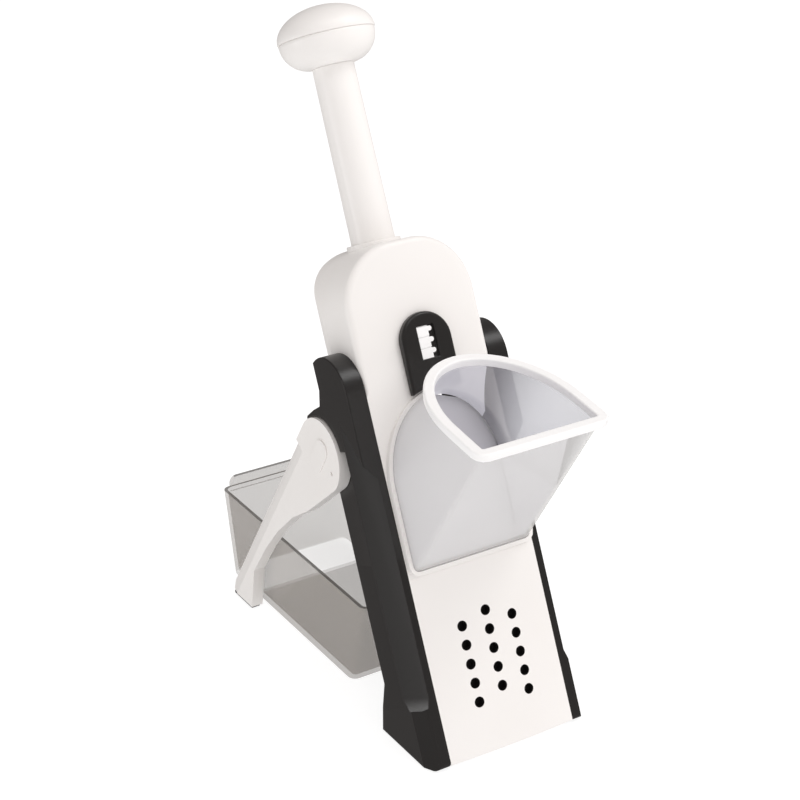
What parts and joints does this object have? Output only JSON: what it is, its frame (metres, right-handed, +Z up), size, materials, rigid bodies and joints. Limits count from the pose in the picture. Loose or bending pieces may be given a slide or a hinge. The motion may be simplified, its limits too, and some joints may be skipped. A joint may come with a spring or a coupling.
{
  "type": "push-down vegetable slicer",
  "caption": "Leaning table slicer: a sprung plunger drives a V-bladed deck past a frosted hopper, slices fall in a catch box, and the legs fold.",
  "frame": {"origin": "on the table under the middle of the whole part", "axes": "+Z up from the table, +X across to the right as seen from the hopper, +Y back towards the catch box"},
  "size_m": [0.1128, 0.287, 0.3875],
  "materials": {
    "warm_white": "smooth warm white",
    "bright_white": "smooth white",
    "black_plastic": "satin black",
    "deck_grey": "satin light grey",
    "frosted": "frosted, see-through",
    "smoky": "smoky, see-through",
    "rubber": "matt",
    "steel": "plain steel",
    "blade_steel": "ground steel"
  },
  "bodies": {
    "frame": {"left_rail": "black_plastic", "right_rail": "black_plastic", "rail_pads": "rubber", "upper_housing": "warm_white", "housing_back": "warm_white", "back_screws": "steel", "rod_bush": "warm_white", "lower_panel": "warm_white", "panel_backer": "black_plastic", "lower_cross": "black_plastic", "slice_guide": "black_plastic", "guide_rods": "steel", "spring_seats": "warm_white", "left_spring": "steel", "right_spring": "steel", "leg_pins": "steel"},
    "plunger": {"plunger_rod": "warm_white", "knob_base": "warm_white", "knob_cap": "warm_white", "knob_screw": "steel", "crosshead": "black_plastic", "slicing_deck": "deck_grey", "v_blade": "blade_steel", "blade_screws": "steel"},
    "chute": {"chute_body": "frosted", "chute_rim": "bright_white"},
    "latch": {"latch_plate": "black_plastic", "latch_grip": "bright_white"},
    "leg_left": {"left_leg": "warm_white", "left_leg_cap": "warm_white", "left_leg_pad": "rubber"},
    "leg_right": {"right_leg": "warm_white", "right_leg_cap": "warm_white", "right_leg_pad": "rubber"},
    "box": {"catch_box": "smoky"}
  },
  "joints": [
    {"name": "plunger_slide", "type": "slide", "parent": "frame", "child": "plunger", "axis": [0, -0.4195, -0.9078], "range_m": [0, 0.098], "stiffness_N_per_m": 150, "springref_m": -0.04, "deforming": ["left_spring", "right_spring"]},
    {"name": "latch_slide", "type": "slide", "parent": "frame", "child": "latch", "axis": [0, 0.4195, 0.9078], "range_m": [0, 0.006], "stiffness_N_per_m": 200, "springref_m": -0.005},
    {"name": "chute_pull", "type": "slide", "parent": "frame", "child": "chute", "axis": [0, -0.9078, 0.4195], "range_m": [0, 0.08]},
    {"name": "left_leg_fold", "type": "hinge", "parent": "frame", "child": "leg_left", "pos_m": [-0.0515, -0.00142, 0.15004], "axis": [-1, 0, 0], "range_deg": [0, 54]},
    {"name": "right_leg_fold", "type": "hinge", "parent": "frame", "child": "leg_right", "pos_m": [0.0515, -0.00142, 0.15004], "axis": [-1, 0, 0], "range_deg": [0, 54]},
    {"name": "catch_box_slide", "type": "slide", "parent": "frame", "child": "box", "axis": [0, 1, 0], "range_m": [0, 0.2]}
  ]
}
